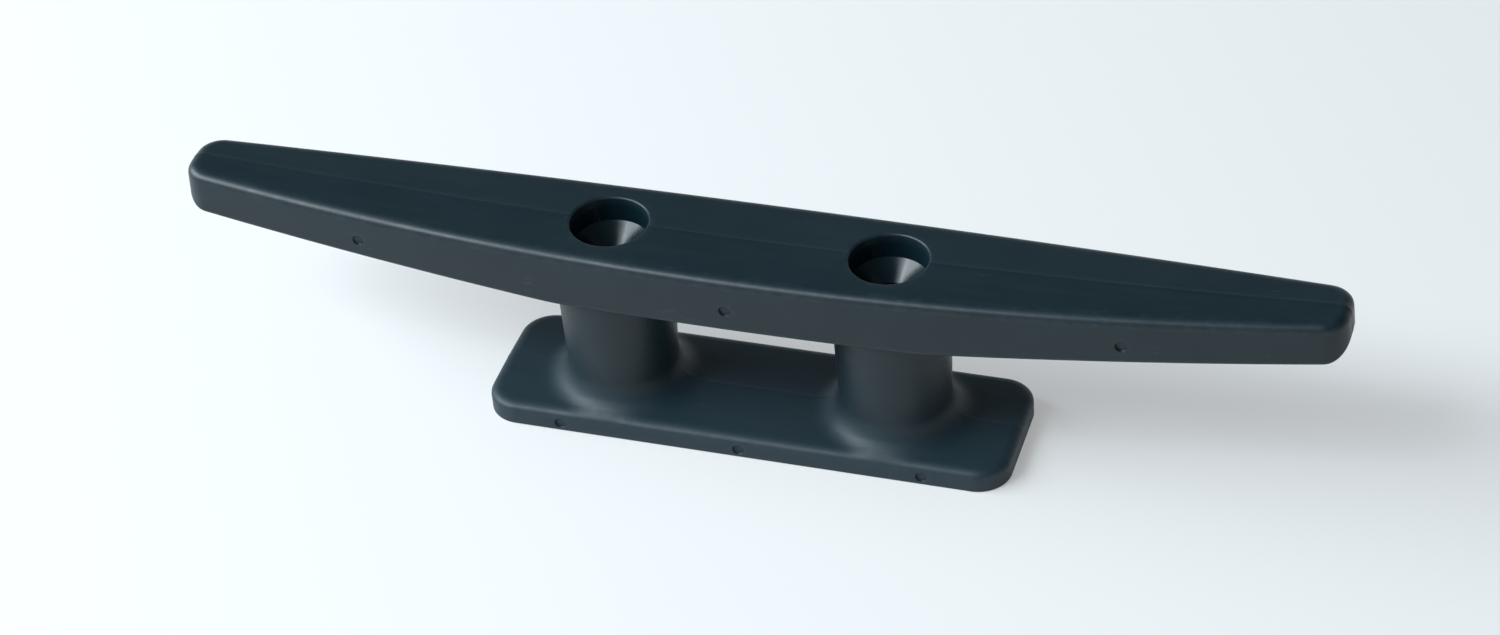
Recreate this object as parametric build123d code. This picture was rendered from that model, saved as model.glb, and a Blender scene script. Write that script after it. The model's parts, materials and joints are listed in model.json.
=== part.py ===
from build123d import *

import math
import os

# A deck cleat in black glass-filled nylon: a long two-ended horn carried on two round posts above a
# narrow base plate.  Horn, posts and base are one moulding.  Its mould opens along Y, so the top,
# under and end faces lean by the draft angle away from the parting plane y = 0, and the ejector pins
# leave a row of shallow round marks on the front (-Y) sides of the horn and of the base.
# Each post has a bolt hole with a counterbore and a countersunk seat at the top.  A stainless sleeve
# pressed in from below lines the rest of the hole, so that the bolt can't crush the nylon post.
# Frame: +X along the horn, +Z up, origin at the middle of the base's underside.  Millimetres.

# Horn
LENGTH = 157.4
HORN_WIDTH_MIDDLE = 18.0
HORN_WIDTH_TIP = 8.7
HORN_TOP_Z = 28.5
HORN_TOP_RISE = 2.4
HORN_UNDERSIDE_Z = 20.0
HORN_UNDERSIDE_FLAT = 50.0
HORN_UNDERSIDE_RISE = 4.6
HORN_UNDERSIDE_BEND_R = 40.0
TIP_LEAN = 0.4
TIP_CORNER_R = 3.5
TIP_UNDER_R = 3.0
HORN_TOP_EDGE_R = 1.2
HORN_UNDER_EDGE_R = 0.5
DRAFT_DEG = 1.5

# Base and posts
BASE_LENGTH = 72.2
BASE_WIDTH = 20.6
BASE_THICKNESS = 3.4
BASE_CORNER_R = 4.5
BASE_TOP_EDGE_R = 1.0
POST_SPACING = 38.0
POST_R = 7.5
FLARE_BOTTOM_Z = 3.0
FLARE_HEIGHT = 4.0
FLARE_REACH_X = 4.0
FLARE_REACH_Y = 2.0
FLARE_STEPS = 6

# Bolt holes and the sleeves that line them
BOLT_HOLE_R = 2.75
COUNTERBORE_R = 5.2
COUNTERBORE_DEPTH = 3.8
COUNTERBORE_RIM_R = 0.35
SEAT_HALF_ANGLE_DEG = 45.0
SLEEVE_R = 4.0
SLEEVE_LENGTH = 21.0
SLEEVE_LEAD_CHAMFER = 0.3

# Ejector pin marks
EJECTOR_MARK_R = 0.8
EJECTOR_MARK_DEPTH = 0.3
HORN_EJECTOR_SPACING = 51.5
HORN_EJECTOR_SHIFT = -0.7
HORN_EJECTOR_DROP = 0.8
BASE_EJECTOR_SPACING = 25.0
BASE_EJECTOR_Z = 1.2

# How closely an edge is matched to a surface or a side, and how far outlines run past the ends
SURFACE_MATCH = 0.05
PARTING_MATCH = 0.01
SIDE_MATCH_SHARE = 0.9
RUN_OUT = 6.0
STAND = (Align.CENTER, Align.CENTER, Align.MIN)

# Worked out from the sizes above
HALF_LENGTH = LENGTH / 2
DRAFT_SLOPE = math.tan(math.radians(DRAFT_DEG))
SIDES = {"left": -POST_SPACING / 2, "right": POST_SPACING / 2}


def sagitta(reach, rise, x):
    """How far an arc has risen at x, when it rises from 0 in the middle to rise at reach."""
    radius = (reach**2 + rise**2) / (2 * rise)
    return radius - math.sqrt(radius**2 - x**2)


def horn_top_z(x):
    """Height of the horn's top ridge, an arc that rises towards both tips."""
    return HORN_TOP_Z + sagitta(HALF_LENGTH, HORN_TOP_RISE, x)


def horn_half_width(x):
    """Half the horn's width in plan, where each side is one arc from tip to tip."""
    narrowing = (HORN_WIDTH_MIDDLE - HORN_WIDTH_TIP) / 2
    return HORN_WIDTH_MIDDLE / 2 - sagitta(HALF_LENGTH, narrowing, x)


def horn_under_z(x):
    """Height of the horn's underside, flat over the posts and sloping up to the tips."""
    slope_start = HORN_UNDERSIDE_FLAT / 2
    along_slope = max(0.0, abs(x) - slope_start) / (HALF_LENGTH - slope_start)
    return HORN_UNDERSIDE_Z + HORN_UNDERSIDE_RISE * along_slope


SEAT_TOP_Z = horn_top_z(POST_SPACING / 2) - COUNTERBORE_DEPTH
SEAT_DEPTH = (COUNTERBORE_R - BOLT_HOLE_R) / math.tan(math.radians(SEAT_HALF_ANGLE_DEG))
SEAT_BOTTOM_Z = SEAT_TOP_Z - SEAT_DEPTH


def front_half(side_profile, plan):
    """A profile in the XZ plane, extruded to the front of y = 0 with draft and cut to the plan."""
    reach = 2 * plan.bounding_box().max.Y
    return extrude(side_profile, amount=reach, taper=DRAFT_DEG) & extrude(plan, 2 * HORN_TOP_Z)


def both_halves(front):
    return front + mirror(front, about=Plane.XZ)


def outline_edges(front, surface_z):
    """The outer edges of a front half's drafted surface, whose height at y = 0 is surface_z(x)."""
    chosen = []
    for edge in front.edges():
        middle = edge.position_at(0.5)
        lean = -middle.Y * DRAFT_SLOPE
        off_surface = abs(abs(middle.Z - surface_z(middle.X)) - lean)
        if off_surface < SURFACE_MATCH and middle.Y < -PARTING_MATCH:
            chosen.append(edge)
    return chosen


def horn_side_profile():
    """The horn seen from the front, with end faces that lean in towards the top."""
    top_x = HALF_LENGTH - TIP_LEAN
    slope_start = HORN_UNDERSIDE_FLAT / 2
    outline = ThreePointArc((-top_x, horn_top_z(top_x)), (0, HORN_TOP_Z), (top_x, horn_top_z(top_x)))
    outline += Polyline(
        (top_x, horn_top_z(top_x)),
        (HALF_LENGTH, horn_under_z(HALF_LENGTH)),
        (slope_start, HORN_UNDERSIDE_Z),
        (-slope_start, HORN_UNDERSIDE_Z),
        (-HALF_LENGTH, horn_under_z(HALF_LENGTH)),
        (-top_x, horn_top_z(top_x)),
    )
    profile = make_face(outline)
    bends = [point for point in profile.vertices() if abs(abs(point.X) - slope_start) < SURFACE_MATCH]
    return Plane.XZ * fillet(bends, HORN_UNDERSIDE_BEND_R)


def horn_plan():
    """The horn's sides seen from above: two long arcs that run out past the tips."""
    reach = HALF_LENGTH + RUN_OUT
    tip = horn_half_width(reach)
    middle = HORN_WIDTH_MIDDLE / 2
    outline = ThreePointArc((-reach, -tip), (0, -middle), (reach, -tip))
    outline += Line((reach, -tip), (reach, tip))
    outline += ThreePointArc((reach, tip), (0, middle), (-reach, tip))
    outline += Line((-reach, tip), (-reach, -tip))
    return make_face(outline)


def under_tip_cut():
    """What is cut away to round the horn's lower end corner at its right tip."""
    slope = HORN_UNDERSIDE_RISE / (HALF_LENGTH - HORN_UNDERSIDE_FLAT / 2)
    centre_x = HALF_LENGTH - TIP_UNDER_R
    centre_z = horn_under_z(centre_x) + TIP_UNDER_R * math.hypot(1, slope)
    start_x = centre_x + TIP_UNDER_R * math.sin(math.atan(slope))
    square = Rectangle(2 * TIP_UNDER_R, 2 * TIP_UNDER_R, align=(Align.MIN, Align.MAX))
    corner = Pos(start_x, centre_z) * square - Pos(centre_x, centre_z) * Circle(TIP_UNDER_R)
    return extrude(Plane.XZ * corner, HORN_WIDTH_MIDDLE)


def is_tip_corner(edge):
    """The upright edges where the horn's sides meet its end faces."""
    middle = edge.position_at(0.5)
    at_tip = abs(abs(middle.X) - HALF_LENGTH) < 2 * TIP_LEAN
    return at_tip and middle.Y < -SIDE_MATCH_SHARE * horn_half_width(HALF_LENGTH)


def bolt_hole():
    """What one post's hole removes: the sleeve's pocket, the bolt hole, its seat and counterbore."""
    half_section = Polyline(
        (0, 0),
        (SLEEVE_R, 0),
        (SLEEVE_R, SLEEVE_LENGTH),
        (BOLT_HOLE_R, SLEEVE_LENGTH),
        (BOLT_HOLE_R, SEAT_BOTTOM_Z),
        (COUNTERBORE_R, SEAT_TOP_Z),
        (COUNTERBORE_R, 2 * HORN_TOP_Z),
        (0, 2 * HORN_TOP_Z),
        close=True,
    )
    return revolve(Plane.XZ * make_face(half_section), Axis.Z)


def is_hole_rim(edge):
    middle = edge.position_at(0.5)
    for x in SIDES.values():
        from_axis = math.hypot(middle.X - x, middle.Y)
        if abs(from_axis - COUNTERBORE_R) < SURFACE_MATCH and middle.Z > SEAT_TOP_Z + SURFACE_MATCH:
            return True
    return False


def horn():
    front = front_half(horn_side_profile(), horn_plan())
    corners = [edge for edge in front.edges() if is_tip_corner(edge)]
    front = fillet(corners, TIP_CORNER_R)
    front = fillet(outline_edges(front, horn_top_z), HORN_TOP_EDGE_R)
    front = fillet(outline_edges(front, horn_under_z), HORN_UNDER_EDGE_R)
    front -= under_tip_cut()
    front -= mirror(under_tip_cut(), about=Plane.YZ)
    for x in SIDES.values():
        front -= Pos(x, 0, 0) * bolt_hole()
    rims = [edge for edge in front.edges() if is_hole_rim(edge)]
    return both_halves(fillet(rims, COUNTERBORE_RIM_R))


def base_plate():
    side_profile = Plane.XZ * Rectangle(BASE_LENGTH + 2 * RUN_OUT, 2 * BASE_THICKNESS)
    plan = RectangleRounded(BASE_LENGTH, BASE_WIDTH, BASE_CORNER_R)
    front = front_half(side_profile, plan)
    return both_halves(fillet(outline_edges(front, lambda x: BASE_THICKNESS), BASE_TOP_EDGE_R))


def post():
    """A round post from the base to the horn, with a concave foot that spreads onto the base."""
    horn_side_lean = HORN_WIDTH_MIDDLE / 2 * DRAFT_SLOPE
    top = HORN_UNDERSIDE_Z + horn_side_lean
    column = Pos(0, 0, FLARE_BOTTOM_Z) * Cylinder(POST_R, top - FLARE_BOTTOM_Z, align=STAND)
    rings = []
    for step in range(FLARE_STEPS + 1):
        turn = math.radians(90 * step / FLARE_STEPS)
        height = FLARE_HEIGHT * (1 - math.cos(turn))
        spread = 1 - math.sin(turn)
        ring = Ellipse(POST_R + FLARE_REACH_X * spread, POST_R + FLARE_REACH_Y * spread)
        rings.append(Pos(0, 0, FLARE_BOTTOM_Z + height) * ring)
    return column + loft(rings)


def ejector_mark(x, surface_y, z):
    depth_each_way = Cylinder(EJECTOR_MARK_R, 2 * EJECTOR_MARK_DEPTH)
    return Pos(x, surface_y, z) * Rot(90, 0, 0) * depth_each_way


def cleat_body():
    body = horn() + base_plate()
    for x in SIDES.values():
        body += Pos(x, 0, 0) * post()
    for x in SIDES.values():
        body -= Pos(x, 0, 0) * bolt_hole()
    for step in (-1, 0, 1):
        x = step * HORN_EJECTOR_SPACING + HORN_EJECTOR_SHIFT
        middle_z = (horn_top_z(x) + horn_under_z(x)) / 2
        body -= ejector_mark(x, -horn_half_width(x), middle_z - HORN_EJECTOR_DROP)
    for step in (-1, 0, 1):
        body -= ejector_mark(step * BASE_EJECTOR_SPACING, -BASE_WIDTH / 2, BASE_EJECTOR_Z)
    return body


def bolt_sleeve():
    """A plain turned tube, flush with the base's underside, with a chamfered lead-in at the top."""
    half_section = Polyline(
        (BOLT_HOLE_R, 0),
        (SLEEVE_R, 0),
        (SLEEVE_R, SLEEVE_LENGTH - SLEEVE_LEAD_CHAMFER),
        (SLEEVE_R - SLEEVE_LEAD_CHAMFER, SLEEVE_LENGTH),
        (BOLT_HOLE_R, SLEEVE_LENGTH),
        close=True,
    )
    return revolve(Plane.XZ * make_face(half_section), Axis.Z)


os.makedirs("parts", exist_ok=True)
export_step(cleat_body(), "parts/cleat_body.step")
for side, x in SIDES.items():
    export_step(Pos(x, 0, 0) * bolt_sleeve(), f"parts/{side}_bolt_sleeve.step")
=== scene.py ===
import json
import math

import bmesh
import bpy
import numpy as np
from mathutils import Matrix, Vector, geometry, kdtree


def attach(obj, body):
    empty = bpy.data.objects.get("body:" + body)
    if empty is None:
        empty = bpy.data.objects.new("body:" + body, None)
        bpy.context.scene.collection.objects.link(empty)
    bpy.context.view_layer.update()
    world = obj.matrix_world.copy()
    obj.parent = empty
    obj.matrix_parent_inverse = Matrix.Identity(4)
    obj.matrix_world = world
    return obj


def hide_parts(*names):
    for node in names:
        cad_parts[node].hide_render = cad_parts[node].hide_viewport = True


# The visual model of a nylon horn cleat: its moulded body, built as one skin with rounded edges, and
# the two steel sleeves in its bolt holes.  The skin has two known faults, marked in front_wall and
# post_walls.  Shapes are worked out in millimetres, in the CAD frame: +X along the horn, +Z up,
# origin at the middle of the base's underside.

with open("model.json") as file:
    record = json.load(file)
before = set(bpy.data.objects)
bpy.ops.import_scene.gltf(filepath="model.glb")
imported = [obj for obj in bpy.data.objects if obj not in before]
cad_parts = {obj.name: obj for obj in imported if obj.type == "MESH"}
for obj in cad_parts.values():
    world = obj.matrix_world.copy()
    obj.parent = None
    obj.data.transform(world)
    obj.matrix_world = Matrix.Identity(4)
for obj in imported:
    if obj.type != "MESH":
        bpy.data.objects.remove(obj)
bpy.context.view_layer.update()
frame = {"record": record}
MM = 0.001

# The parting line: a low ridge of flash round the plane y = 0.  The horn's top and tips lie this
# much inside the CAD faces, so that the ridge's crest is flush with them.
FLASH_HEIGHT = 0.018
FLASH_HALF_WIDTH = 0.18
FLASH_ROWS = (0.0, FLASH_HALF_WIDTH / 2, FLASH_HALF_WIDTH)

# The mould's draft: the horn's top, underside and tips, and the base's top, draw in with distance
# from the parting plane.
DRAFT_DEG = 1.5
DRAFT = math.tan(math.radians(DRAFT_DEG))

# Horn.  It is a little shorter than the CAD's, so that its tips stay inside the CAD's box.
HALF_LENGTH = 78.63
HALF_WIDTH = 9.0
TIP_HALF_WIDTH = 4.35
TOP_Z = 28.5 - FLASH_HEIGHT
TOP_RISE = 2.4
UNDERSIDE_Z = 20.0
UNDERSIDE_FLAT = 25.0
UNDERSIDE_RISE = 4.6
UNDERSIDE_BEND_R = 40.0
TIP_LEAN = 0.4
TIP_CORNER_R = 3.5
TIP_UNDER_R = 3.0
TOP_EDGE_REACH = 1.5
TOP_EDGE_DROP = 1.2
UNDER_EDGE_R = 0.5

# Base and posts.  Each foot spreads by FLARE_REACH_X along the cleat and FLARE_REACH_Y across it.
# Across, its own rings stop at FLARE_ROOM_Y, and the base's edge rings carry the sweep on.
BASE_HALF_LENGTH = 36.1
BASE_HALF_WIDTH = 10.3
BASE_THICKNESS = 3.4
BASE_CORNER_R = 4.5
BASE_EDGE_REACH = 1.5
BASE_EDGE_DROP = 1.0
BASE_BOTTOM_EDGE_R = 0.2
POST_R = 7.5
POST_TOP_FILLET = 0.35
FLARE_HEIGHT = 3.6
FLARE_REACH_X = 3.8
FLARE_REACH_Y = 3.0
FLARE_ROOM_Y = 0.75
FLARE_STEPS = 14

# Bolt holes and sleeves
COUNTERBORE_R = 5.2
COUNTERBORE_DEPTH = 3.8
COUNTERBORE_RIM_R = 0.35
SEAT_EDGE_R = 0.2
SLEEVE_R = 4.0
SLEEVE_LENGTH = 21.0
SLEEVE_CHAMFER = 0.3
SLEEVE_GAP = 0.02
EDGE_BREAK = 0.12

# Ejector pin marks.  The profile runs from the rim to the floor: how far out, in radii, and how
# deep, in depths.  What is shallower than MARK_RIM_DEPTH is the rim.
MARK_R = 0.8
MARK_DEPTH = 0.3
MARK_PROFILE = ((1.1, 0), (1.03, 0.03), (1.0, 0.12), (0.97, 0.8), (0.9, 1.0))
MARK_RIM_DEPTH = 0.1
MARK_MARGIN = 5 * MARK_R
HORN_MARK_SPACING = 51.5
HORN_MARK_SHIFT = -0.7
HORN_MARK_DROP = 0.8
BASE_MARK_SPACING = 25.0
BASE_MARK_Z = 1.2

# How rubbed or polished the skin is, from 0 to 1
EDGE_WEAR = 1.0
BASE_BOTTOM_WEAR = 0.6
MARK_RIM_WEAR = 0.5
HOLE_POLISH = 1.0

# How finely the skin is divided, and how far beside an edge the loop is that keeps its wall flat
LATTICE = 0.8
HORN_SIDE_STEPS = 88
BASE_SIDE_STEPS = 38
BASE_END_STEPS = 6
CORNER_STEPS = 18
ROUND_STEPS = 8
CIRCLE_STEPS = 96
MARK_STEPS = 32
SOFT_STEPS = 4
SHARP_DEG = 40.0
HORN_SUPPORT = 0.25
BASE_SUPPORT = 0.1
SEAT_SUPPORT = 2.0

# For Blender's triangulation: keep what is inside the borders, and join points closer than this
CDT_INSIDE = 1
CDT_EPSILON = 1e-7

# Where the bolt holes are and how wide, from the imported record
MOUNTS = {mount["name"]: mount for mount in frame["record"]["mounts"]}
HOLE_X = {side: MOUNTS[f"{side}_bolt_hole"]["pos_m"][0] / MM for side in ("left", "right")}
HOLE_R = MOUNTS["left_bolt_hole"]["dims"]["r_mm"]


def arc_radius(reach, rise):
    """Radius of the arc that rises from 0 in the middle to rise at reach."""
    return (reach**2 + rise**2) / (2 * rise)


def sagitta(reach, rise, x):
    """How far that arc has risen at x."""
    radius = arc_radius(reach, rise)
    return radius - math.sqrt(radius**2 - x**2)


def flash(y):
    """How far the parting line's ridge stands out at a distance y from the parting plane."""
    return FLASH_HEIGHT * max(0.0, 1 - (y / FLASH_HALF_WIDTH) ** 2)


def top_z(x, y):
    return TOP_Z + sagitta(HALF_LENGTH, TOP_RISE, x) - abs(y) * DRAFT + flash(y)


def under_z(x, y):
    """The horn's underside: flat over the posts, then bent into a slope up to each round tip."""
    slope = UNDERSIDE_RISE / (HALF_LENGTH - UNDERSIDE_FLAT)
    bend = UNDERSIDE_BEND_R * math.tan(math.atan(slope) / 2)
    past_bend = abs(x) - (UNDERSIDE_FLAT - bend)
    bend_reach = UNDERSIDE_BEND_R * math.sin(math.atan(slope))
    if past_bend <= 0:
        rise = 0.0
    elif past_bend < bend_reach:
        rise = UNDERSIDE_BEND_R - math.sqrt(UNDERSIDE_BEND_R**2 - past_bend**2)
    else:
        rise = slope * (abs(x) - UNDERSIDE_FLAT)
    past_corner = min(TIP_UNDER_R, abs(x) - (HALF_LENGTH - TIP_UNDER_R))
    if past_corner > TIP_UNDER_R * math.sin(math.atan(slope)):
        level = slope * (HALF_LENGTH - TIP_UNDER_R - UNDERSIDE_FLAT) + TIP_UNDER_R * math.hypot(1, slope)
        rise = level - math.sqrt(TIP_UNDER_R**2 - past_corner**2)
    return UNDERSIDE_Z + rise + abs(y) * DRAFT - flash(y)


def half_width(x):
    return HALF_WIDTH - sagitta(HALF_LENGTH, HALF_WIDTH - TIP_HALF_WIDTH, x)


def tip_x(z):
    """Where the tips' end faces are at height z: they lean in towards the top."""
    low = under_z(HALF_LENGTH, FLASH_HALF_WIDTH)
    high = top_z(HALF_LENGTH, FLASH_HALF_WIDTH)
    return HALF_LENGTH - FLASH_HEIGHT - TIP_LEAN * (z - low) / (high - low)


def foot_z(x, y):
    """The base's top, which sweeps up into a concave foot round each post."""
    height = BASE_THICKNESS - abs(y) * DRAFT + flash(y)
    for centre_x in HOLE_X.values():
        from_axis = math.hypot(x - centre_x, y)
        sideways = (y / from_axis) ** 2 if from_axis else 0.0
        reach = FLARE_REACH_X + (FLARE_REACH_Y - FLARE_REACH_X) * sideways
        nearness = 1 - min(reach, max(0.0, from_axis - POST_R)) / reach
        height += FLARE_HEIGHT * (1 - math.sqrt(1 - nearness**2))
    return height


SEAT_TOP_Z = top_z(HOLE_X["right"], 0) - COUNTERBORE_DEPTH
SEAT_BOTTOM_Z = SEAT_TOP_Z - (COUNTERBORE_R - HOLE_R)


def steps(first, last, count):
    """Evenly spaced values from first to last, without last itself."""
    return [first + (last - first) * k / count for k in range(count)]


def mirrored(quarter):
    """A whole outline from its quarter, which runs from the X axis round to the Y axis."""
    left = [(-x, y) for x, y in reversed(quarter[:-1])]
    front_left = [(-x, -y) for x, y in quarter[1:]]
    front_right = [(x, -y) for x, y in reversed(quarter[1:-1])]
    return quarter + left + front_left + front_right


def horn_outline(end_x, inset):
    """The horn in plan, with its tips at end_x on the X axis, drawn in by inset all round."""
    side_r = arc_radius(HALF_LENGTH, HALF_WIDTH - TIP_HALF_WIDTH)
    side_centre = Vector((0, HALF_WIDTH - side_r))
    tilt = math.atan(DRAFT)
    end_normal = Vector((math.cos(tilt), math.sin(tilt)))
    end_along = Vector((-math.sin(tilt), math.cos(tilt)))
    end_reach = end_x * math.cos(tilt)
    foot = end_normal * (end_reach - TIP_CORNER_R)
    back = (foot - side_centre).dot(end_along)
    room = (side_r - TIP_CORNER_R) ** 2 - (foot - side_centre).length_squared
    corner = foot + end_along * (math.sqrt(back**2 + room) - back)
    side_angle = math.atan2(corner.y - side_centre.y, corner.x)
    corner_r = TIP_CORNER_R - inset
    points = [((end_reach - inset) / math.cos(tilt) - y * DRAFT + flash(y), y) for y in FLASH_ROWS]
    for angle in steps(tilt, side_angle, CORNER_STEPS):
        points.append((corner.x + corner_r * math.cos(angle), corner.y + corner_r * math.sin(angle)))
    reach = side_r - inset
    for angle in steps(side_angle, math.pi / 2, HORN_SIDE_STEPS):
        points.append((reach * math.cos(angle), side_centre.y + reach * math.sin(angle)))
    return mirrored(points + [(0.0, HALF_WIDTH - inset)])


def base_outline(inset):
    """The base in plan: a rectangle with round corners, drawn in by inset all round."""
    corner_x = BASE_HALF_LENGTH - BASE_CORNER_R
    corner_y = BASE_HALF_WIDTH - BASE_CORNER_R
    corner_r = BASE_CORNER_R - inset
    points = [(BASE_HALF_LENGTH - inset + flash(y), y) for y in FLASH_ROWS]
    end_start = 2 * FLASH_HALF_WIDTH
    points += [(BASE_HALF_LENGTH - inset, y) for y in steps(end_start, corner_y, BASE_END_STEPS)]
    for angle in steps(0, math.pi / 2, CORNER_STEPS):
        points.append((corner_x + corner_r * math.cos(angle), corner_y + corner_r * math.sin(angle)))
    points += [(x, BASE_HALF_WIDTH - inset) for x in steps(corner_x, 0, BASE_SIDE_STEPS)]
    return mirrored(points + [(0.0, BASE_HALF_WIDTH - inset)])


def circle_angles():
    """Angles round a post or hole, with extra ones where the parting line crosses it."""
    extra = [math.asin(y / POST_R) for y in FLASH_ROWS if y]
    uniform = [math.tau * k / CIRCLE_STEPS for k in range(CIRCLE_STEPS)]
    near = [way * angle for angle in extra for way in (1, -1)]
    return sorted(uniform + [(base + angle) % math.tau for base in (0, math.pi) for angle in near])


ANGLES = circle_angles()


def around(centre_x, reach_x, reach_y, height):
    """Points round a post or hole, at the height that height(x, y) gives."""
    points = []
    for angle in ANGLES:
        x = centre_x + reach_x * math.cos(angle)
        y = reach_y * math.sin(angle)
        points.append((x, y, height(x, y)))
    return points


def rounding(reach, depth):
    """Steps round a convex edge, from the wall to the flat: how far in, and how far down."""
    for k in range(ROUND_STEPS + 1):
        turn = math.pi / 2 * k / ROUND_STEPS
        yield reach * (1 - math.cos(turn)), depth * (1 - math.sin(turn))


def softened(corners):
    """The points of a profile whose corners, each (r, z, rounding), are replaced by small arcs."""
    points = [Vector(corners[0][:2])]
    for before, corner, after in zip(corners, corners[1:], corners[2:]):
        here = Vector(corner[:2])
        to_before = (Vector(before[:2]) - here).normalized()
        to_after = (Vector(after[:2]) - here).normalized()
        half_angle = to_before.angle(to_after) / 2
        middle = (to_before + to_after).normalized()
        centre = here + middle * corner[2] / math.sin(half_angle)
        start = here + to_before * corner[2] / math.tan(half_angle) - centre
        end = here + to_after * corner[2] / math.tan(half_angle) - centre
        for k in range(SOFT_STEPS + 1):
            turned = start.normalized().slerp(end.normalized(), k / SOFT_STEPS)
            points.append(centre + turned * corner[2])
    return points + [Vector(corners[-1][:2])]


def covered(spots, loops):
    """Which spots lie inside an odd number of closed loops."""
    u, v = np.array(spots).T
    odd = np.zeros(len(spots), bool)
    for loop in loops:
        for (au, av), (bu, bv) in zip(loop, loop[1:] + loop[:1]):
            if av != bv:
                between = (av > v) != (bv > v)
                odd ^= between & (u < au + (v - av) * (bu - au) / (bv - av))
    return odd


class Skin:
    """The points and faces of one skin, in millimetres, and how rubbed or polished it is."""

    def __init__(self):
        self.points = []
        self.wear = []
        self.polish = []
        self.faces = []

    def ring(self, points, wear=0.0, polish=0.0):
        first = len(self.points)
        self.points += points
        self.wear += [wear] * len(points)
        self.polish += [polish] * len(points)
        return list(range(first, first + len(points)))

    def bridge(self, lower, upper, leave_out=()):
        """Quads between two closed rings of as many points, but not after the points left out."""
        for k in range(len(lower)):
            after = (k + 1) % len(lower)
            if k not in leave_out:
                self.faces.append((lower[k], lower[after], upper[after], upper[k]))

    def chain(self, rings):
        for lower, upper in zip(rings, rings[1:]):
            self.bridge(lower, upper)

    def fill(self, borders, axes, lattice, place):
        """Triangles over the region that the borders enclose, through the lattice's points in it.
        The region lies flat in two of the axes, and place(u, v) gives a lattice point's position."""
        loops = [[tuple(self.points[i][axis] for axis in axes) for i in border] for border in borders]
        ids = [i for border in borders for i in border]
        flat = [spot for loop in loops for spot in loop]
        edges = []
        for loop in loops:
            first = len(edges)
            edges += [(first + k, first + (k + 1) % len(loop)) for k in range(len(loop))]
        tree = kdtree.KDTree(len(flat))
        for i, (u, v) in enumerate(flat):
            tree.insert((u, v, 0), i)
        tree.balance()
        for (u, v), is_inside in zip(lattice, covered(lattice, loops)):
            on_parting_line = axes == (0, 1) and abs(v) <= FLASH_HALF_WIDTH
            clear = FLASH_HALF_WIDTH if on_parting_line else LATTICE / 2
            if is_inside and tree.find((u, v, 0))[2] > clear:
                flat.append((u, v))
                ids += self.ring([place(u, v)])
        spots, _, triangles, sources, _, _ = geometry.delaunay_2d_cdt(
            [Vector(spot) for spot in flat], edges, [], CDT_INSIDE, CDT_EPSILON
        )
        centres = [sum((spots[i] for i in triangle), Vector((0, 0))) / 3 for triangle in triangles]
        for triangle, is_inside in zip(triangles, covered(centres, loops)):
            if is_inside:
                self.faces.append([ids[sources[i][0]] for i in triangle])

    def cap(self, ring, centre):
        """A fan of triangles that closes a small ring."""
        middle = self.ring([centre])[0]
        for k in range(len(ring)):
            self.faces.append((ring[k], ring[(k + 1) % len(ring)], middle))

    def build(self, name, origin=(0, 0, 0)):
        """The skin as a smooth Blender object in metres, with its origin at a point of the frame."""
        mesh = bpy.data.meshes.new(name)
        place = Matrix.Translation(-Vector(origin))
        mesh.from_pydata([place @ Vector(point) * MM for point in self.points], [], self.faces)
        shaped = bmesh.new()
        shaped.from_mesh(mesh)
        bmesh.ops.recalc_face_normals(shaped, faces=shaped.faces)
        shaped.to_mesh(mesh)
        shaped.free()
        for finish, values in (("wear", self.wear), ("polish", self.polish)):
            mesh.attributes.new(finish, "FLOAT", "POINT").data.foreach_set("value", values)
        mesh.shade_smooth()
        mesh.set_sharp_from_angle(angle=math.radians(SHARP_DEG))
        piece = bpy.data.objects.new(name, mesh)
        piece.location = Vector(origin) * MM
        bpy.context.scene.collection.objects.link(piece)
        return piece


def plan_lattice(reach_x, reach_y):
    """Spots over a plan, with rows close together along the parting line."""
    last_column = int(reach_x / LATTICE)
    columns = [k * LATTICE for k in range(-last_column, last_column + 1)]
    rows = [k * LATTICE for k in range(1, int(reach_y / LATTICE) + 1)]
    rows += list(FLASH_ROWS[1:])
    return [(x, way * y) for y in rows for way in (1, -1) for x in columns] + [(x, 0.0) for x in columns]


def front_marks(skin, places, surface_y):
    """Ejector pin marks, round and flat-floored, in a wall that faces the front; gives their rims."""
    rims = []
    for centre_x, centre_z in places:
        floor_y = surface_y(centre_x) + MARK_DEPTH
        rings = []
        for reach, depth in MARK_PROFILE:
            points = []
            for k in range(MARK_STEPS):
                angle = math.tau * k / MARK_STEPS
                x = centre_x + reach * MARK_R * math.cos(angle)
                wall_y = surface_y(x)
                z = centre_z + reach * MARK_R * math.sin(angle)
                points.append((x, wall_y + (floor_y - wall_y) * depth, z))
            wear = MARK_RIM_WEAR if depth < MARK_RIM_DEPTH else 0.0
            rings.append(skin.ring(points, wear))
        skin.chain(rings)
        skin.cap(rings[-1], (centre_x, floor_y, centre_z))
        rims.append(rings[0])
    return rims


def is_front(point, reach_x):
    return point[1] < 0 and abs(point[0]) <= reach_x


def front_wall(skin, lower, upper, reach_x, places, surface_y):
    """A wall between two rings, whose front is pierced by ejector pin marks."""
    span = [k for k in range(len(lower)) if is_front(skin.points[lower[k]], reach_x)]
    skin.bridge(lower, upper, leave_out=span[:-1])
    rims = front_marks(skin, places, surface_y)
    border = [lower[k] for k in span] + [upper[k] for k in reversed(span)]
    heights = [skin.points[i][2] for i in border]
    # Known fault: the lowest row can lie on the border.  On the base it splits the border's edges at
    # four points, and the strip below isn't split with it, so the skin isn't strictly closed there.
    rows = np.arange(min(heights), max(heights), LATTICE).tolist()
    columns = np.arange(-reach_x, reach_x, LATTICE).tolist()
    lattice = [(x, z) for z in rows for x in columns]
    skin.fill([border] + rims, (0, 2), lattice, lambda x, z: (x, surface_y(x), z))


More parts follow.
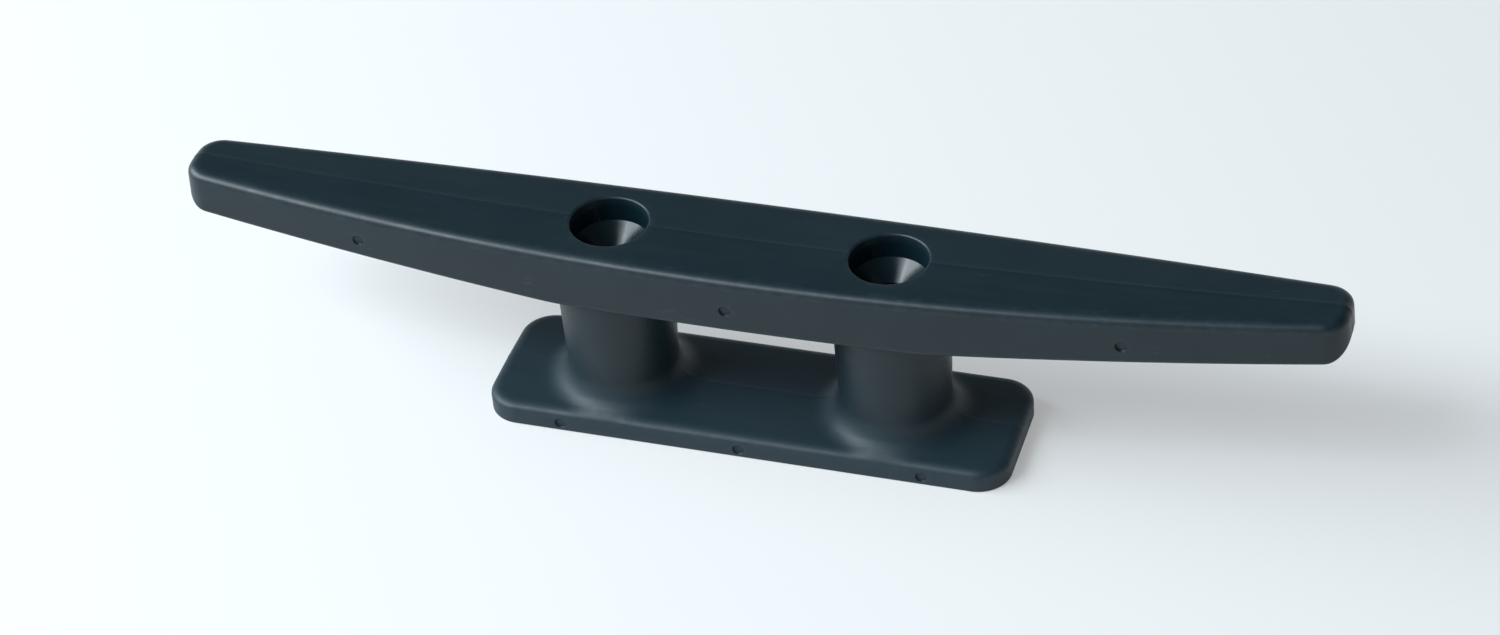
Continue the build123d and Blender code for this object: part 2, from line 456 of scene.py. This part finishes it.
def horn_ring(skin, inset, height, level, wear=0.0):
    """A ring round the horn, drawn in by inset, at height(x, y), with tips as far out as at level."""
    outline = horn_outline(tip_x(level), inset)
    return skin.ring([(x, y, height(x, y)) for x, y in outline], wear)


def horn_walls(skin):
    """The horn's edges and walls; gives the rings that bound its top and its underside."""
    tip_top = top_z(HALF_LENGTH, FLASH_HALF_WIDTH)
    tip_under = under_z(HALF_LENGTH, FLASH_HALF_WIDTH)
    upper = []
    for inset, drop in rounding(TOP_EDGE_REACH, TOP_EDGE_DROP):
        upper.append(
            horn_ring(skin, inset, lambda x, y: top_z(x, y) - drop, tip_top - drop, EDGE_WEAR)
        )
    upper.append(horn_ring(skin, TOP_EDGE_REACH + HORN_SUPPORT, top_z, tip_top))
    lower = []
    for inset, drop in rounding(UNDER_EDGE_R, UNDER_EDGE_R):
        lower.append(
            horn_ring(skin, inset, lambda x, y: under_z(x, y) + drop, tip_under + drop, EDGE_WEAR)
        )
    lower.append(horn_ring(skin, UNDER_EDGE_R + HORN_SUPPORT, under_z, tip_under))
    skin.chain(upper)
    skin.chain(lower)
    wall_top = TOP_EDGE_DROP + HORN_SUPPORT
    wall_foot = UNDER_EDGE_R + HORN_SUPPORT
    high = horn_ring(skin, 0, lambda x, y: top_z(x, y) - wall_top, tip_top - wall_top)
    low = horn_ring(skin, 0, lambda x, y: under_z(x, y) + wall_foot, tip_under + wall_foot)
    skin.bridge(high, upper[0])
    skin.bridge(lower[0], low)
    places = []
    for step in (-1, 0, 1):
        x = step * HORN_MARK_SPACING + HORN_MARK_SHIFT
        places.append((x, (top_z(x, HALF_WIDTH) + under_z(x, HALF_WIDTH)) / 2 - HORN_MARK_DROP))
    front_wall(skin, low, high, HORN_MARK_SPACING + MARK_MARGIN, places, lambda x: -half_width(x))
    return upper[-1], lower[-1]


def base_walls(skin):
    """The base's edges and walls; gives the rings that bound its top and its underside."""
    upper = []
    for inset, drop in rounding(BASE_EDGE_REACH, BASE_EDGE_DROP):
        edge = [(x, y, foot_z(x, y) - drop) for x, y in base_outline(inset)]
        upper.append(skin.ring(edge, EDGE_WEAR))
    flat = base_outline(BASE_EDGE_REACH + BASE_SUPPORT)
    upper.append(skin.ring([(x, y, foot_z(x, y)) for x, y in flat]))
    lower = []
    for inset, drop in rounding(BASE_BOTTOM_EDGE_R, BASE_BOTTOM_EDGE_R):
        lower.append(skin.ring([(x, y, drop) for x, y in base_outline(inset)], BASE_BOTTOM_WEAR))
    skin.chain(upper)
    skin.chain(lower)
    places = [(step * BASE_MARK_SPACING, BASE_MARK_Z) for step in (-1, 0, 1)]
    reach_x = BASE_MARK_SPACING + MARK_MARGIN
    front_wall(skin, lower[0], upper[0], reach_x, places, lambda x: -BASE_HALF_WIDTH)
    return upper[-1], lower[-1]


def post_walls(skin, centre_x):
    """A post from the horn's underside to its spread foot; gives its top and its foot rings."""
    rings = []
    for inset, drop in rounding(POST_TOP_FILLET, POST_TOP_FILLET):
        reach = POST_R + POST_TOP_FILLET - inset
        below = POST_TOP_FILLET - drop
        rings.append(skin.ring(around(centre_x, reach, reach, lambda x, y: under_z(x, y) - below)))
    # Known fault: these rings bulge outwards and are in the wrong order.  The horn is joined to the
    # inner ring and the wall to the outer one, so the wall tapers from POST_R + POST_TOP_FILLET at
    # the horn to POST_R at the foot, and the skin folds through itself at the post's top.
    rings.reverse()
    for k in range(FLARE_STEPS + 1):
        spread = (k / FLARE_STEPS) ** 2
        reach_x = POST_R + FLARE_REACH_X * spread
        reach_y = POST_R + FLARE_ROOM_Y * spread
        rings.append(skin.ring(around(centre_x, reach_x, reach_y, foot_z)))
    skin.chain(rings)
    return rings[0], rings[-1]


def bolt_hole(skin, centre_x):
    """A hole from the horn's top to the base's underside; gives its rings at both faces."""
    rings = []
    for inset, drop in rounding(COUNTERBORE_RIM_R, COUNTERBORE_RIM_R):
        reach = COUNTERBORE_R + inset
        rim = around(centre_x, reach, reach, lambda x, y: top_z(x, y) - drop)
        rings.append(skin.ring(rim, EDGE_WEAR))
    rings.reverse()
    profile = softened(
        (
            (COUNTERBORE_R, SEAT_TOP_Z + SEAT_SUPPORT, 0),
            (COUNTERBORE_R, SEAT_TOP_Z, SEAT_EDGE_R),
            (HOLE_R, SEAT_BOTTOM_Z, EDGE_BREAK),
            (HOLE_R, SLEEVE_LENGTH, EDGE_BREAK),
            (SLEEVE_R, SLEEVE_LENGTH, EDGE_BREAK),
            (SLEEVE_R, 0, EDGE_BREAK),
            (SLEEVE_R + 2 * EDGE_BREAK, 0, 0),
        )
    )
    for reach, z in profile:
        rings.append(skin.ring(around(centre_x, reach, reach, lambda x, y: z), polish=HOLE_POLISH))
    skin.chain(rings)
    return rings[0], rings[-1]


def moulded_body():
    """The horn, posts and base as one skin."""
    skin = Skin()
    horn_top, horn_under = horn_walls(skin)
    base_top, base_under = base_walls(skin)
    holes = [bolt_hole(skin, x) for x in HOLE_X.values()]
    posts = [post_walls(skin, x) for x in HOLE_X.values()]
    mouths = [hole[0] for hole in holes]
    exits = [hole[1] for hole in holes]
    heads = [post[0] for post in posts]
    feet = [post[1] for post in posts]
    horn_plan = plan_lattice(HALF_LENGTH, HALF_WIDTH)
    base_plan = plan_lattice(BASE_HALF_LENGTH, BASE_HALF_WIDTH)
    skin.fill([horn_top] + mouths, (0, 1), horn_plan, lambda x, y: (x, y, top_z(x, y)))
    skin.fill([horn_under] + heads, (0, 1), horn_plan, lambda x, y: (x, y, under_z(x, y)))
    skin.fill([base_top] + feet, (0, 1), base_plan, lambda x, y: (x, y, foot_z(x, y)))
    skin.fill([base_under] + exits, (0, 1), base_plan, lambda x, y: (x, y, 0.0))
    return skin.build("moulded_body")


def sleeve(side):
    """A turned tube with broken edges and a lead-in chamfer, its origin on its own axis."""
    skin = Skin()
    outer = SLEEVE_R - SLEEVE_GAP
    profile = softened(
        (
            (HOLE_R, SLEEVE_LENGTH / 2, 0),
            (HOLE_R, 0, EDGE_BREAK),
            (outer, 0, EDGE_BREAK),
            (outer, SLEEVE_LENGTH - SLEEVE_CHAMFER, EDGE_BREAK / 2),
            (outer - SLEEVE_CHAMFER, SLEEVE_LENGTH - SLEEVE_GAP, EDGE_BREAK / 2),
            (HOLE_R, SLEEVE_LENGTH - SLEEVE_GAP, EDGE_BREAK),
            (HOLE_R, SLEEVE_LENGTH / 2, 0),
        )
    )
    centre_x = HOLE_X[side]
    rings = [skin.ring(around(centre_x, r, r, lambda x, y: z)) for r, z in profile[:-1]]
    skin.chain(rings + rings[:1])
    return skin.build(f"{side}_sleeve", origin=(centre_x, 0, 0))


class Graph:
    """A material's node tree, built one node at a time and ending in a Principled shader."""

    def __init__(self, name):
        self.material = bpy.data.materials.new(name)
        self.material.use_nodes = True
        self.tree = self.material.node_tree
        self.shader = self.tree.nodes["Principled BSDF"]

    def connect(self, socket, value):
        if isinstance(value, bpy.types.NodeSocket):
            self.tree.links.new(value, socket)
        else:
            socket.default_value = value

    def add(self, kind, output, inputs, **settings):
        """A node with some inputs set or linked; gives one of its outputs."""
        node = self.tree.nodes.new("ShaderNode" + kind)
        for name, value in settings.items():
            setattr(node, name, value)
        for name, value in inputs.items():
            self.connect(node.inputs[name], value)
        return node.outputs[output]

    def finish(self, **inputs):
        for name, value in inputs.items():
            self.connect(self.shader.inputs[name.replace("_", " ")], value)
        return self.material

    def noise(self, place, scale, detail=2.0, roughness=0.5):
        inputs = {"Vector": place, "Scale": scale, "Detail": detail, "Roughness": roughness}
        return self.add("TexNoise", "Fac", inputs)

    def stretch(self, place, scales):
        return self.add("Mapping", "Vector", {"Vector": place, "Scale": scales})

    def ramp(self, value, low, high, to_low=0.0, to_high=1.0):
        inputs = {"Value": value, "From Min": low, "From Max": high, "To Min": to_low, "To Max": to_high}
        return self.add("MapRange", "Result", inputs)

    def maths(self, operation, first, second=0.0):
        return self.add("Math", "Value", {0: first, 1: second}, operation=operation)

    def blend(self, amount, first, second):
        inputs = {"Factor": amount, 6: first, 7: second}
        return self.add("Mix", 2, inputs, data_type="RGBA")

    def bump(self, height, depth_mm, normal=None):
        inputs = {"Height": height, "Distance": depth_mm * MM, "Strength": 1.0}
        if normal is not None:
            inputs["Normal"] = normal
        return self.add("Bump", "Normal", inputs)


# The materials' colours
NYLON_DARK = (0.0028, 0.0117, 0.0166, 1)
NYLON_LIGHT = (0.005, 0.0152, 0.0205, 1)
# The next colour is painted light: the paler blue that the low parts take, as if lit from the floor
NYLON_PAINTED_BOUNCE = (0.016, 0.036, 0.05, 1)
NYLON_RUBBED = (0.03, 0.045, 0.055, 1)
NYLON_SCUFFED = (0.05, 0.06, 0.068, 1)
STEEL_DARK = (0.46, 0.47, 0.48, 1)
STEEL_LIGHT = (0.6, 0.61, 0.62, 1)
FLOOR_DARK = (0.475, 0.475, 0.475, 1)
FLOOR_LIGHT = (0.495, 0.495, 0.495, 1)

# Low down, painted light makes the nylon paler, standing in for light bounced up from the floor, and the
# nylon is duller, by these amounts, which fade out between two heights
PAINTED_BOUNCE_AMOUNT = 0.42
PAINTED_BOUNCE_FADE = (4 * MM, 8 * MM)
DULL_AMOUNT = 0.1
DULL_FADE = (5 * MM, 12 * MM)

# How much colour rubbed and scuffed spots take on, and how each kind of spot changes the roughness
WORN_COLOUR_AMOUNT = 0.35
POLISHED_ROUGHNESS = -0.2
RUBBED_ROUGHNESS = -0.06
SCUFFED_ROUGHNESS = 0.1
TOOL_MARK_PITCH = 0.12 * MM


# In the materials below, noise scales are per metre and the depths of bumps are in millimetres.
def nylon():
    """Black glass-filled nylon: mottled, satin, duller low down, with rubbed edges, and paler low down
    by painted light bounced from the floor.
    """
    graph = Graph("black_nylon")
    place = graph.add("TexCoord", "Object", {})
    height = graph.add("SeparateXYZ", "Z", {"Vector": place})
    mottle = graph.ramp(graph.noise(place, 90, 4.0), 0.3, 0.7)
    flow = graph.ramp(graph.noise(graph.stretch(place, (60, 700, 700)), 1.0, 3.0), 0.35, 0.7)
    grain = graph.noise(place, 5200, 3.0, 0.6)
    peel = graph.noise(place, 900, 2.0)
    waves = graph.noise(graph.stretch(place, (35, 110, 110)), 1.0, 1.0)
    scratches = graph.ramp(graph.noise(graph.stretch(place, (300, 6000, 2600)), 1.0, 2.0), 0.66, 0.72)
    patches = graph.ramp(graph.noise(place, 240, 3.0), 0.52, 0.66)
    scuffs = graph.maths("MULTIPLY", scratches, patches)
    edges = graph.add("Attribute", "Fac", {}, attribute_name="wear")
    rub = graph.ramp(graph.noise(place, 650, 5.0, 0.65), 0.4, 0.75)
    rubbed = graph.maths("MULTIPLY", edges, rub)
    colour = graph.blend(mottle, NYLON_DARK, NYLON_LIGHT)
    # Painted light: the low parts are blended towards a paler blue, as light bounced up from the floor
    # would light them
    colour = graph.blend(graph.ramp(height, *PAINTED_BOUNCE_FADE, PAINTED_BOUNCE_AMOUNT, 0.0), colour, NYLON_PAINTED_BOUNCE)
    colour = graph.blend(graph.maths("MULTIPLY", rubbed, WORN_COLOUR_AMOUNT), colour, NYLON_RUBBED)
    colour = graph.blend(graph.maths("MULTIPLY", scuffs, WORN_COLOUR_AMOUNT), colour, NYLON_SCUFFED)
    rough = graph.ramp(flow, 0.0, 1.0, 0.4, 0.46)
    polished = graph.add("Attribute", "Fac", {}, attribute_name="polish")
    changes = (
        graph.maths("MULTIPLY", polished, POLISHED_ROUGHNESS),
        graph.ramp(height, *DULL_FADE, DULL_AMOUNT, 0.0),
        graph.maths("MULTIPLY", rubbed, RUBBED_ROUGHNESS),
        graph.maths("MULTIPLY", scuffs, SCUFFED_ROUGHNESS),
    )
    for change in changes:
        rough = graph.maths("ADD", rough, change)
    normal = graph.bump(waves, 0.05)
    normal = graph.bump(peel, 0.004, normal=normal)
    normal = graph.bump(grain, 0.002, normal=normal)
    normal = graph.bump(scuffs, -0.004, normal=normal)
    return graph.finish(Base_Color=colour, Roughness=rough, Normal=normal, IOR=1.43)


def turned_steel():
    """Turned stainless steel, with fine tool marks round the sleeve's axis."""
    graph = Graph("turned_steel")
    place = graph.add("TexCoord", "Object", {})
    split = graph.tree.nodes.new("ShaderNodeSeparateXYZ")
    graph.connect(split.inputs[0], place)
    flat = graph.add("CombineXYZ", "Vector", {"X": split.outputs["X"], "Y": split.outputs["Y"]})
    radius = graph.add("VectorMath", "Value", {0: flat}, operation="LENGTH")
    travel = graph.maths("ADD", radius, split.outputs["Z"])
    marks = graph.maths("SINE", graph.maths("MULTIPLY", travel, math.tau / TOOL_MARK_PITCH))
    uneven = graph.noise(graph.add("CombineXYZ", "Vector", {"X": travel}), 2500, 3.0)
    stain = graph.noise(place, 500, 4.0)
    colour = graph.blend(stain, STEEL_DARK, STEEL_LIGHT)
    rough = graph.ramp(graph.maths("ADD", uneven, stain), 0.6, 1.4, 0.22, 0.38)
    normal = graph.bump(marks, 0.002)
    normal = graph.bump(uneven, 0.004, normal=normal)
    return graph.finish(Base_Color=colour, Roughness=rough, Normal=normal, Metallic=1.0)


# The studio, in metres.  The sky fades from its low colour to its high one between two elevations,
# whose sines are SKY_LOW_AT and SKY_HIGH_AT.
FLOOR_HALF = 3.0
FLOOR_DROP = 0.02 * MM
FLOOR_GLOW = 0.33
FLOOR_CORNERS = ((-1, -1), (1, -1), (1, 1), (-1, 1))
SKY_LOW = (0.62, 0.67, 0.71, 1)
SKY_LOW_AT = 0.18
SKY_HIGH = (0.08, 0.105, 0.12, 1)
SKY_HIGH_AT = 0.42

# The soft lights: where each is, which way its long side runs, its length and width, and its watts
SOFTBOX_COLOUR = (0.84, 0.94, 1.0)
SOFTBOXES = {
    "left_softbox": ((-0.76, -0.22, 0.58), (0.55, -0.65, 0.3), 1.15, 0.44, 18.0),
    "front_softbox": ((-0.35, -0.53, 0.77), (1.0, 0.1, 0.2), 0.36, 0.3, 3.2),
}

# The camera: where it looks, from which side, and how far from there
CAMERA_TARGET = Vector((-0.52, 0, 15.5)) * MM
CAMERA_AZIMUTH_DEG = 20.02
CAMERA_ELEVATION_DEG = 38.38
CAMERA_ROLL_DEG = -4.78
CAMERA_DISTANCE = 466.96 * MM
CAMERA_LENS = 85.04
CAMERA_SENSOR = 36.0
CAMERA_NEAR = 0.01


def pale_floor():
    """A matt off-white studio floor that glows a little, like a lit table."""
    graph = Graph("pale_floor")
    place = graph.add("TexCoord", "Object", {})
    tone = graph.blend(graph.noise(place, 3, 2.0), FLOOR_DARK, FLOOR_LIGHT)
    return graph.finish(
        Base_Color=tone, Roughness=0.9, Emission_Color=(1, 1, 1, 1), Emission_Strength=FLOOR_GLOW
    )


def make_floor():
    corners = [(x * FLOOR_HALF, y * FLOOR_HALF, -FLOOR_DROP) for x, y in FLOOR_CORNERS]
    mesh = bpy.data.meshes.new("floor")
    mesh.from_pydata(corners, [], [(0, 1, 2, 3)])
    mesh.materials.append(pale_floor())
    floor = bpy.data.objects.new("floor", mesh)
    bpy.context.scene.collection.objects.link(floor)


def make_softbox(name, centre, along, length, width, watts):
    """A soft rectangular light that faces the object, its long side along the direction given."""
    light = bpy.data.lights.new(name, "AREA")
    light.shape = "RECTANGLE"
    light.size = length
    light.size_y = width
    light.energy = watts
    light.color = SOFTBOX_COLOUR
    away = Vector(centre).normalized()
    across = away.cross(Vector(along)).normalized()
    axes = Matrix((across.cross(away), across, away)).transposed().to_4x4()
    softbox = bpy.data.objects.new(name, light)
    softbox.matrix_world = Matrix.Translation(centre) @ axes
    bpy.context.scene.collection.objects.link(softbox)


def make_sky():
    """Dim blue-grey surroundings that turn pale near the horizon."""
    world = bpy.data.worlds.new("studio")
    bpy.context.scene.world = world
    world.use_nodes = True
    tree = world.node_tree
    background = tree.nodes["Background"]
    place = tree.nodes.new("ShaderNodeTexCoord")
    split = tree.nodes.new("ShaderNodeSeparateXYZ")
    ramp = tree.nodes.new("ShaderNodeValToRGB")
    ramp.color_ramp.elements[0].position = SKY_LOW_AT
    ramp.color_ramp.elements[0].color = SKY_LOW
    ramp.color_ramp.elements[1].position = SKY_HIGH_AT
    ramp.color_ramp.elements[1].color = SKY_HIGH
    tree.links.new(place.outputs["Generated"], split.inputs[0])
    tree.links.new(split.outputs["Z"], ramp.inputs[0])
    tree.links.new(ramp.outputs["Color"], background.inputs["Color"])


def make_camera():
    azimuth = math.radians(CAMERA_AZIMUTH_DEG)
    elevation = math.radians(CAMERA_ELEVATION_DEG)
    level = math.cos(elevation)
    back = Vector((math.sin(azimuth) * level, -math.cos(azimuth) * level, math.sin(elevation)))
    right = Vector((math.cos(azimuth), math.sin(azimuth), 0))
    upright = Matrix((right, back.cross(right), back)).transposed().to_4x4()
    camera = bpy.data.objects.new("camera", bpy.data.cameras.new("camera"))
    camera.data.sensor_width = CAMERA_SENSOR
    camera.data.lens = CAMERA_LENS
    camera.data.clip_start = CAMERA_NEAR
    roll = Matrix.Rotation(math.radians(CAMERA_ROLL_DEG), 4, "Z")
    camera.matrix_world = Matrix.Translation(CAMERA_TARGET + back * CAMERA_DISTANCE) @ upright @ roll
    bpy.context.scene.collection.objects.link(camera)
    bpy.context.scene.camera = camera


make_camera()
make_floor()
for name, values in SOFTBOXES.items():
    make_softbox(name, *values)
make_sky()
bpy.context.scene.view_settings.view_transform = "Standard"

body = moulded_body()
body.data.materials.append(nylon())
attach(body, "root")
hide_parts("cleat_body")

steel = turned_steel()
for side in HOLE_X:
    tube = sleeve(side)
    tube.data.materials.append(steel)
    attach(tube, "root")
    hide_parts(f"{side}_bolt_sleeve")
